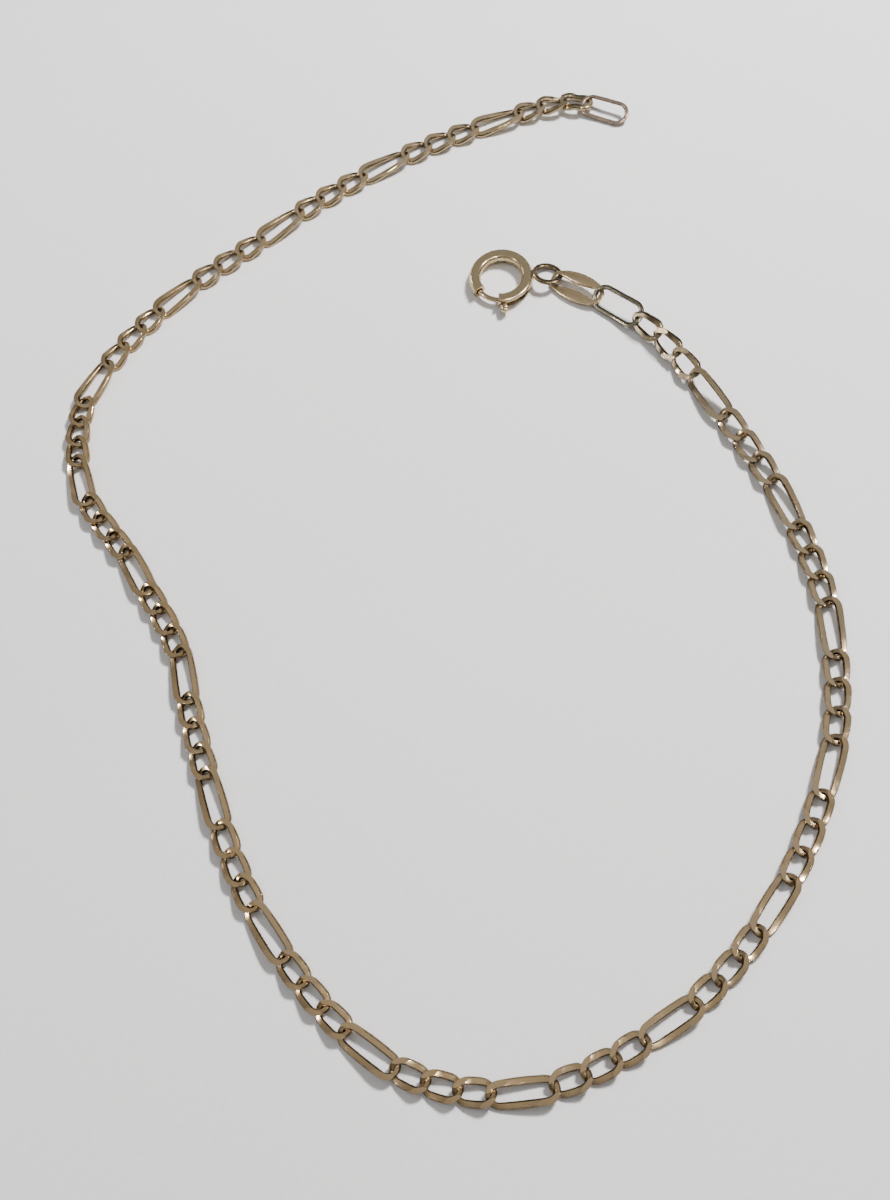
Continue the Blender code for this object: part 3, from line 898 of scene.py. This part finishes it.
@dataclass
class TagPlate:
    """The flat oval plate between the first link and the clasp, with a slot pinched in its middle."""

    points: int = 96
    fullness: float = 0.80
    slot_width: float = 1.36 * MM
    slot_fullness: float = 0.55
    pinch: float = 0.64
    bevel: float = 0.07 * MM
    dome: float = 0.09 * MM
    dome_border: float = 0.15 * MM

    @staticmethod
    def _to_outline(
        verts: Sequence[BMVert], reach: float, half: float, fullness: float, pinch: float = 0.0
    ) -> None:
        """Moves the points of a unit circle to an oval whose middle may be drawn in.

        Args:
            verts: The circle's points.
            reach: The oval's half length.
            half: Its half width.
            fullness: How round its ends are; a low number squares them.
            pinch: The share by which its middle is drawn in.
        """
        for vert in verts:
            side = min(1.0, abs(vert.co.y))
            across = half * side**fullness * (1 - pinch * side**2)
            vert.co = (reach * vert.co.x, math.copysign(across, vert.co.y), 0.0)

    def mesh(self) -> BMesh:
        """The plate round its own centre, with its length on X."""
        bm = bmesh.new()
        outer = bmesh.ops.create_circle(bm, segments=self.points, radius=1.0)["verts"]
        made = bmesh.ops.extrude_edge_only(bm, edges=edges_of(outer))["geom"]
        inner = only_verts(made)
        self._to_outline(outer, TAG.length / 2, TAG.width / 2, self.fullness)
        slot_reach = TAG.length / 2 - TAG.wire_width
        self._to_outline(inner, slot_reach, self.slot_width / 2, self.slot_fullness, self.pinch)
        made = bmesh.ops.extrude_face_region(bm, geom=list(bm.faces))["geom"]
        bmesh.ops.translate(bm, vec=(0, 0, TAG.wire_height), verts=only_verts(made))
        bmesh.ops.translate(bm, vec=(0, 0, -TAG.wire_height / 2), verts=bm.verts)
        bmesh.ops.recalc_face_normals(bm, faces=bm.faces)
        rims = [edge for edge in bm.edges if edge.calc_face_angle(0.0) > math.radians(60)]
        for side in (1, -1):
            faces = [face for face in bm.faces if face.normal.z * side > 0.9]
            bmesh.ops.inset_region(
                bm, faces=faces, thickness=self.dome_border, use_boundary=True, use_even_offset=True
            )
            for vert in {vert for face in faces for vert in face.verts}:
                vert.co.z += side * self.dome * (1 - (2 * vert.co.x / TAG.length) ** 2)
        bevelled(bm, rims, self.bevel, 4)
        mark_sharp(bm, 40.0)
        return bm


def tinted(bm: BMesh, tone: float, grime_and_shade: float) -> BMesh:
    """Keeps a link's tone and grime on its points.

    Args:
        bm: The link's mesh.
        tone: How warm it is, 0 to 1.
        grime_and_shade: How dark every point starts, 0 to 1, before any painted shade is added.

    Returns:
        The same mesh.
    """
    tones = bm.verts.layers.float.new("tone")
    grime_and_shade_layer = bm.verts.layers.float.new("grime_and_shade")
    for vert in bm.verts:
        vert[tones] = tone
        vert[grime_and_shade_layer] = grime_and_shade
    return bm


# How the painted shade is spread on a link: its walls and round ends, which also hold some real patina, and
# its outer rail.
WALL_STARTS = 0.97
WALL_SPAN = 0.24
NOOK_SHADE_AND_PATINA = 0.30
OUTER_RAIL_SHADE = 0.30


def shaded_and_tarnished(bm: BMesh, shape: LinkShape, depth: float) -> BMesh:
    """Paints shade, with some real patina, on the walls and in the round ends, and shade on the outer rail.

    Args:
        bm: The link's mesh, tinted.
        shape: Its shape.
        depth: How dark the painted shade on its walls and outer rail is, 0 to 1.

    Returns:
        The same mesh.
    """
    grime_and_shade_layer = bm.verts.layers.float["grime_and_shade"]
    reach = (shape.width - shape.wire_width) / 2
    straight = (shape.length - shape.width) / 2
    bm.normal_update()
    for vert in bm.verts:
        past = abs(vert.co.x) - straight
        out = math.hypot(max(0.0, past), vert.co.y)
        # Painted shade with some patina on walls that face sideways.
        wall = unit_share((WALL_STARTS - abs(vert.normal.z)) / WALL_SPAN)
        # Painted shade, with some patina, in the recess inside each round end.
        nook = unit_share(past / reach + 0.5) if out < reach else 0.0
        # Painted shade: the outer rail is made darker than the inner one, as light and reflection make it
        # look.
        outer = unit_share(vert.co.y / reach)
        added = depth * wall + NOOK_SHADE_AND_PATINA * nook * wall + OUTER_RAIL_SHADE * depth * outer
        vert[grime_and_shade_layer] = unit_share(vert[grime_and_shade_layer] + added)
    return bm


@dataclass
class ChainRun:
    """One half of the chain, every link its own closed wire."""

    piece: Piece
    links: Sequence[Placed]
    warmth: Sequence[float]
    # How deep each link's painted wall and outer rail shade is, with some patina.
    shade_and_patina_depth: Sequence[float]
    seed: int
    tone_spread: float = 0.16

    def build(self, materials: Sequence[Material]) -> Object:
        """Builds the run.

        Args:
            materials: The metal of the round sides and of the ground faces.

        Returns:
            The run's object.
        """
        chance = random.Random(self.seed)
        parts = []
        for link, warmth, shade_and_patina_depth in zip(self.links, self.warmth, self.shade_and_patina_depth):
            part = OvalLink(link.shape, link.trail_twist, link.lead_twist).mesh()
            tone = warmth + chance.uniform(-self.tone_spread, self.tone_spread)
            shaded_and_tarnished(tinted(part, tone, 0.0), link.shape, shade_and_patina_depth)
            bmesh.ops.transform(part, matrix=link.matrix(), verts=part.verts)
            parts.append(part)
        return self.piece.dressed(poured_together(parts), materials)


@dataclass
class PlainLink:
    """An oval link of round wire that isn't ground."""

    piece: Piece
    link: Placed
    finish: GoldFinish
    tone: float
    grime_and_shade: float = 0.15
    # How deep the painted shade on its walls and outer rail is, with some patina.
    wall_shade_and_patina: float = 0.75

    def build(self) -> Object:
        """Builds and dresses the link."""
        link = self.link
        bm = OvalLink(link.shape, link.trail_twist, link.lead_twist, end_steps=24, straight_steps=8).mesh()
        shaded_and_tarnished(tinted(bm, self.tone, self.grime_and_shade), link.shape, self.wall_shade_and_patina)
        bmesh.ops.transform(bm, matrix=link.matrix(), verts=bm.verts)
        return self.piece.dressed(bm, [self.finish.material()])


@dataclass
class Tag:
    """The tag link, dressed."""

    link: Placed

    def build(self) -> Object:
        """Builds and dresses the tag."""
        bm = tinted(TagPlate().mesh(), 0.5, 0.0)
        bmesh.ops.transform(bm, matrix=self.link.matrix(), verts=bm.verts)
        return TAG_PIECE.dressed(bm, [TAG_PLATE.material()])


SOLDER_PROFILE: Profile = ((0.00, 0.26), (0.05, 0.235), (0.10, 0.20), (0.16, 0.175), (0.24, 0.165))
KNOB_PROFILE: Profile = (
    (0.00, 0.62), (0.04, 0.86), (0.12, 0.98), (0.24, 1.00), (0.40, 0.96), (0.46, 0.86),
    (0.52, 0.86), (0.58, 0.96), (0.70, 0.97), (0.82, 0.86), (0.91, 0.66), (0.97, 0.42), (1.00, 0.16),
)


@dataclass
class SpringRing:
    """The hollow ring with its gap, collars, slot and soldered eye, and the trigger that slides in it."""

    centre: Vector
    eye: Placed
    diameter: float = RING_DIAMETER
    tube: float = 0.92 * MM
    wall: float = 0.15 * MM
    gap_start: float = 216.0
    gap_end: float = 266.0
    knob_at: float = 276.0
    travel: float = 46.0
    bolt: float = 0.40 * MM
    bolt_entry: float = 2.0
    bolt_tail: float = 12.0
    stem: float = 0.30 * MM
    slot_clearance: float = 0.05 * MM
    knob: float = 0.66 * MM
    knob_reach: float = 0.70 * MM
    knob_clearance: float = 0.04 * MM
    collar_start: float = 0.6
    collar_end: float = 5.0
    collar_growth: float = 0.07 * MM
    bore_overrun: float = 4.0
    solder_sink: float = 0.09 * MM
    eye_clean: float = 0.05 * MM
    eye_fade: float = 0.35 * MM
    tube_sides: int = 32
    tube_steps: int = 120
    flat_share: float = 0.80

    @property
    def middle(self) -> float:
        """The radius of the tube's middle line."""
        return (self.diameter - self.tube) / 2

    def _bar(
        self, diameter: float, sides: int, start: float, end: float, steps: int, flat: float = 1.0
    ) -> BMesh:
        """A closed bar along the ring's middle line.

        Args:
            diameter: The bar's thickness.
            sides: How many sides it has.
            start: Where it starts, in degrees.
            end: Where it ends, in degrees.
            steps: How many steps it takes.
            flat: The share of the height at which its round is pressed flat, 1 for none.

        Returns:
            The bar.
        """
        bm = bmesh.new()
        first = wire_loop(bm, diameter, diameter, sides, flat)
        place = Matrix.Rotation(math.radians(start), 4, "Z") @ Matrix.Translation((self.middle, 0, 0))
        place = place @ Matrix.Rotation(math.pi / 2, 4, "Z")
        bmesh.ops.transform(bm, matrix=place, verts=bm.verts)
        last = spun_on(bm, list(first), Vector(), math.radians(end - start), steps)
        for rim in (first, last):
            bmesh.ops.contextual_create(bm, geom=rim)
        closed_up(bm)
        return bm

    def _eye_wire(self) -> BMesh:
        """The closed wire eye in its place beside the ring."""
        bm = bmesh.new()
        reach = (EYE.width - EYE.wire_width) / 2
        rim = wire_loop(bm, EYE.wire_width, EYE.wire_height, 16, 1.0)
        bmesh.ops.translate(bm, vec=(0, -reach, 0), verts=bm.verts)
        bmesh.ops.spin(
            bm, geom=rim, cent=(0, 0, 0), axis=(0, 0, 1), dvec=(0, 0, 0), angle=2 * math.pi, steps=56,
            use_merge=True,
        )
        closed_up(bm)
        bmesh.ops.transform(bm, matrix=Matrix.Translation(-self.centre) @ self.eye.matrix(), verts=bm.verts)
        return bm

    def _solder(self) -> BMesh:
        """The soft fillet of solder between the eye and the ring."""
        bm = turned_rod([(height * MM, radius * MM) for height, radius in SOLDER_PROFILE], 20)
        toward = (self.eye.centre - self.centre).normalized()
        place = Matrix.Translation(toward * (self.diameter / 2 - self.solder_sink))
        place = place @ toward.to_track_quat("Z", "Y").to_matrix().to_4x4()
        bmesh.ops.transform(bm, matrix=place, verts=bm.verts)
        return bm

    def _trigger_slot(self) -> BMesh:
        """What is cut from the tube's outer side for the stem to slide along."""
        bm = bmesh.new()
        height = self.stem + 2 * self.slot_clearance
        outside = self.diameter / 2 + self.tube
        margin = math.degrees(height / 2 / self.middle)
        made = bmesh.ops.create_grid(bm, x_segments=1, y_segments=1, size=0.5)["verts"]
        for vert in made:
            across = self.middle if vert.co.x < 0 else outside
            vert.co = (across, 0.0, math.copysign(height / 2, vert.co.y))
        start = Matrix.Rotation(math.radians(self.knob_at - margin), 4, "Z")
        bmesh.ops.transform(bm, matrix=start, verts=bm.verts)
        bmesh.ops.spin(
            bm, geom=list(bm.faces), cent=(0, 0, 0), axis=(0, 0, 1), dvec=(0, 0, 0),
            angle=math.radians(self.travel + 2 * margin), steps=24, use_merge=False,
        )
        closed_up(bm)
        return bm

    @staticmethod
    def _joined(base: BMesh, others: Sequence[tuple[str, BMesh]]) -> BMesh:
        """Joins meshes to or cuts them from a base, with exact Booleans.

        Args:
            base: The mesh that is worked on.
            others: Each an operation and a mesh.

        Returns:
            The result as a new mesh.
        """
        work = made_object("ring_work", base, [])
        helpers = []
        for operation, other in others:
            helper = made_object("ring_helper", other, [])
            modifier = work.modifiers.new(operation, "BOOLEAN")
            modifier.operation = operation
            modifier.solver = "EXACT"
            modifier.object = helper
            helpers.append(helper)
        bpy.context.view_layer.update()
        done = bpy.data.meshes.new_from_object(work.evaluated_get(bpy.context.evaluated_depsgraph_get()))
        result = bmesh.new()
        result.from_mesh(done)
        bpy.data.meshes.remove(done)
        for helper in [work, *helpers]:
            bpy.data.objects.remove(helper, do_unlink=True)
        return result

    def _body_mesh(self) -> BMesh:
        """The bored tube with its slot, collars, solder and eye."""
        sides = self.tube_sides
        first, last = self.gap_end, self.gap_start + 360.0
        tube = self._bar(self.tube, sides, first, last, self.tube_steps, self.flat_share)
        collar = self.tube + self.collar_growth
        spans = (
            (first + self.collar_start, first + self.collar_end),
            (last - self.collar_end, last - self.collar_start),
        )
        work = [("UNION", self._bar(collar, sides, *span, 3, self.flat_share)) for span in spans]
        bore = self.tube - 2 * self.wall
        span = (first - self.bore_overrun, last + self.bore_overrun)
        work.append(("DIFFERENCE", self._bar(bore, sides, *span, self.tube_steps)))
        work.append(("DIFFERENCE", self._trigger_slot()))
        work.append(("UNION", self._solder()))
        work.append(("UNION", self._eye_wire()))
        bm = self._joined(tube, work)
        mark_sharp(bm, 40.1)
        return bm

    def _knob_mesh(self) -> BMesh:
        """The stem and the turned knob, which points out from the ring."""
        foot = self.diameter / 2 + self.knob_clearance
        length = self.knob_reach - self.knob_clearance
        rows = [(self.middle, self.stem / 2), (foot, self.stem / 2)]
        rows += [(foot + reach * length, share * self.knob / 2) for reach, share in KNOB_PROFILE]
        bm = turned_rod(rows, 24)
        place = Matrix.Rotation(math.radians(self.knob_at), 4, "Z") @ Matrix.Rotation(math.pi / 2, 4, "Y")
        bmesh.ops.transform(bm, matrix=place @ Matrix.Translation((0, 0, self.middle)), verts=bm.verts)
        return bm

    def _darken_eye(self, body: BMesh) -> None:
        """Puts a dark patina on the eye, which is handled less than the ring."""
        grime_and_shade_layer = body.verts.layers.float["grime_and_shade"]
        clean = self.diameter / 2 + self.eye_clean
        for vert in body.verts:
            out = math.hypot(vert.co.x, vert.co.y)
            vert[grime_and_shade_layer] = unit_share((out - clean) / self.eye_fade)

    def build(self) -> list[Object]:
        """Builds the ring and its trigger and dresses them."""
        body = tinted(self._body_mesh(), 0.45, 0.0)
        self._darken_eye(body)
        bolt = self._bar(self.bolt, 20, self.gap_start - self.bolt_entry, self.knob_at + self.bolt_tail, 36)
        trigger = self._joined(bolt, [("UNION", self._knob_mesh())])
        tinted(trigger, 0.4, 0.12)
        mark_sharp(trigger, 34.0)
        made = []
        for piece, bm, finish in ((RING_PIECE, body, RING_TUBE), (TRIGGER_PIECE, trigger, TRIGGER_METAL)):
            bmesh.ops.translate(bm, vec=self.centre, verts=bm.verts)
            made.append(piece.dressed(bm, [finish.material()]))
        return made


@dataclass(frozen=True)
class Lamp:
    """A rectangular area light that faces the bracelet, its power in watts.

    It either makes glints in the metal and does nothing else, or lights all but those glints.
    """

    name: str
    place: Colour
    power: float
    tint: Colour
    size: tuple[float, float] = (0.02, 0.02)
    glints: bool = True

    def hang(self) -> None:
        """Adds the light to the scene."""
        data = bpy.data.lights.new(self.name, "AREA")
        data.shape = "RECTANGLE"
        data.size, data.size_y = self.size
        data.energy = self.power
        data.color = self.tint
        obj = bpy.data.objects.new(self.name, data)
        look = (-Vector(self.place)).to_track_quat("-Z", "Y").to_matrix().to_4x4()
        obj.matrix_world = Matrix.Translation(self.place) @ look
        obj.visible_glossy = self.glints
        obj.visible_diffuse = not self.glints
        bpy.context.scene.collection.objects.link(obj)


LAMPS = (
    Lamp("key", (0.14, 0.19, 0.23), 2.7, (1.0, 0.98, 0.97), (0.07, 0.05), False),
    Lamp("fill", (-0.25, 0.10, 0.24), 0.30, (0.96, 0.98, 1.0), (0.20, 0.20), False),
    Lamp("near_lamp", (0.13, -0.20, 0.26), 0.8, (1.0, 0.97, 0.93)),
    Lamp("far_lamp", (-0.26, 0.16, 0.13), 0.35, (1.0, 0.98, 0.96)),
    Lamp("side_lamp", (0.22, -0.02, 0.16), 1.0, (1.0, 0.98, 0.96)),
    Lamp("low_lamp", (-0.20, -0.06, 0.12), 0.2, (1.0, 0.97, 0.93)),
)


@dataclass
class Studio:
    """The camera, the pale surface, and the soft light round them."""

    floor_size: float = 1.2
    floor_colour: Colour = (0.80, 0.79, 0.79)
    floor_shade: float = 0.93
    wall_colour: Colour = (0.012, 0.010, 0.009)
    sky_colour: Colour = (0.58, 0.57, 0.555)

    def camera(self) -> None:
        """Makes the camera at the photograph's angle."""
        data = bpy.data.cameras.new("camera")
        data.sensor_width = SENSOR
        data.lens = SENSOR
        data.clip_start = 1 * MM
        data.clip_end = 10.0
        obj = bpy.data.objects.new("camera", data)
        obj.matrix_world = Matrix.Translation(CAMERA_PLACE) @ CAMERA_TURN.to_4x4()
        bpy.context.scene.collection.objects.link(obj)
        bpy.context.scene.camera = obj

    def floor(self) -> None:
        """Makes the surface that the bracelet lies on."""
        bm = bmesh.new()
        bmesh.ops.create_grid(bm, x_segments=8, y_segments=8, size=self.floor_size / 2)
        material = bpy.data.materials.new("pale_surface")
        material.use_nodes = True
        paint = Paint(material.node_tree)
        grain = paint.noise(2500.0, 5.0)
        cloud = paint.noise(22.0, 2.0)
        shade = paint.ramp(grain * 0.55 + cloud * 0.45, [(0.30, 0.0), (0.70, 1.0)])
        darker = tuple(level * self.floor_shade for level in self.floor_colour)
        sockets = {"Base Color": paint.mix(shade, darker, self.floor_colour), "Roughness": 0.85}
        sockets |= {"Specular IOR Level": 0.15, "Normal": paint.bump(grain, 12e-6)}
        paint.finish("BsdfPrincipled", "Material", sockets)
        made_object("surface", bm, [material])

    def world(self) -> None:
        """Makes a room with a pale skirt at the horizon, dim walls, a lighter ceiling and a far window."""
        world = bpy.data.worlds.new("room")
        bpy.context.scene.world = world
        world.use_nodes = True
        paint = Paint(world.node_tree)
        place = paint.out(paint.node("TexCoord", {}, {}), "Generated")
        parts = paint.node("SeparateXYZ", {}, {"Vector": place})
        height = paint.out(parts, "Z")
        lift = paint.ramp(height, [(0.0, 0.0), (0.30, 0.05), (0.62, 0.55), (1.0, 1.0)])
        north = paint.out(parts, "Y")
        saddle = paint.out(parts, "X") * north * 1.1
        window = ((north - 0.54) * 6.0).held() * lift * 1.1
        skirt = paint.ramp(height, [(0.0, 0.58), (0.07, 0.50), (0.22, 0.0)])
        glow = (lift * (saddle + 0.92) + window + skirt).held()
        colour = paint.mix(glow, self.wall_colour, self.sky_colour)
        paint.finish("Background", "World", {"Color": colour, "Strength": 1.0})

    def build(self) -> None:
        """Builds the surface and the light."""
        self.floor()
        self.world()
        for lamp in LAMPS:
            lamp.hang()


@dataclass
class Bracelet:
    """The whole bracelet, in the order of its assembly."""

    layout: ChainLayout = field(default_factory=ChainLayout)

    def _ring_in_route(self) -> Vector:
        """The ring's centre in the route's own coordinates."""
        shapes = self.layout.shapes()
        eye = self.layout.centres(shapes)[0] + Vector((0, 0, self.layout.eye_height))
        reach = (RING_DIAMETER + EYE.length) / 2 - EYE_SOLDER_DEPTH
        return eye - heading_vector(EYE_DEG) * reach - Vector((0, 0, self.layout.eye_height - RING_HEIGHT))

    def build(self) -> list[Object]:
        """Builds every piece, from the ring to the end link."""
        centre = Vector(frame["joints"][0]["pos_m"])
        eye, tag, first, *chain, end = self.layout.place(centre - self._ring_in_route())
        half = self.layout.free_half_place - self.layout.first_place - 1
        metals = [finish.material() for finish in (POLISHED_WIRE, GROUND_FACE)]
        from_end = range(len(chain), 0, -1)
        warm = [min(1.0, index / 24, back / 28) for index, back in enumerate(from_end)]
        # Painted shade on the walls and outer rails, deeper towards the clasp, with some patina.
        shade_and_patina_depth = [min(0.95, 0.45 + max(0, back - 16) / 40) for back in from_end]
        made = SpringRing(centre, eye).build()
        made.append(Tag(tag).build())
        made.append(PlainLink(FIRST_OVAL, first, OLIVE_WIRE, 0.4).build())
        for piece, part, seed in (
            (CLASP_SIDE_LINKS, slice(None, half), 11),
            (FREE_SIDE_LINKS, slice(half, None), 12),
        ):
            made.append(ChainRun(piece, chain[part], warm[part], shade_and_patina_depth[part], seed).build(metals))
        made.append(PlainLink(END_OVAL, end, PINK_WIRE, 0.3).build())
        return made


def main() -> None:
    """Builds the camera, the bracelet and the studio, and reports each piece of the bracelet."""
    logging.basicConfig(level=logging.INFO, format="%(name)s %(message)s")
    studio = Studio()
    studio.camera()
    for obj in Bracelet().build():
        log.info("%s: %d faces", obj.name, len(obj.data.polygons))
    studio.build()


if __name__ == "__main__":
    main()
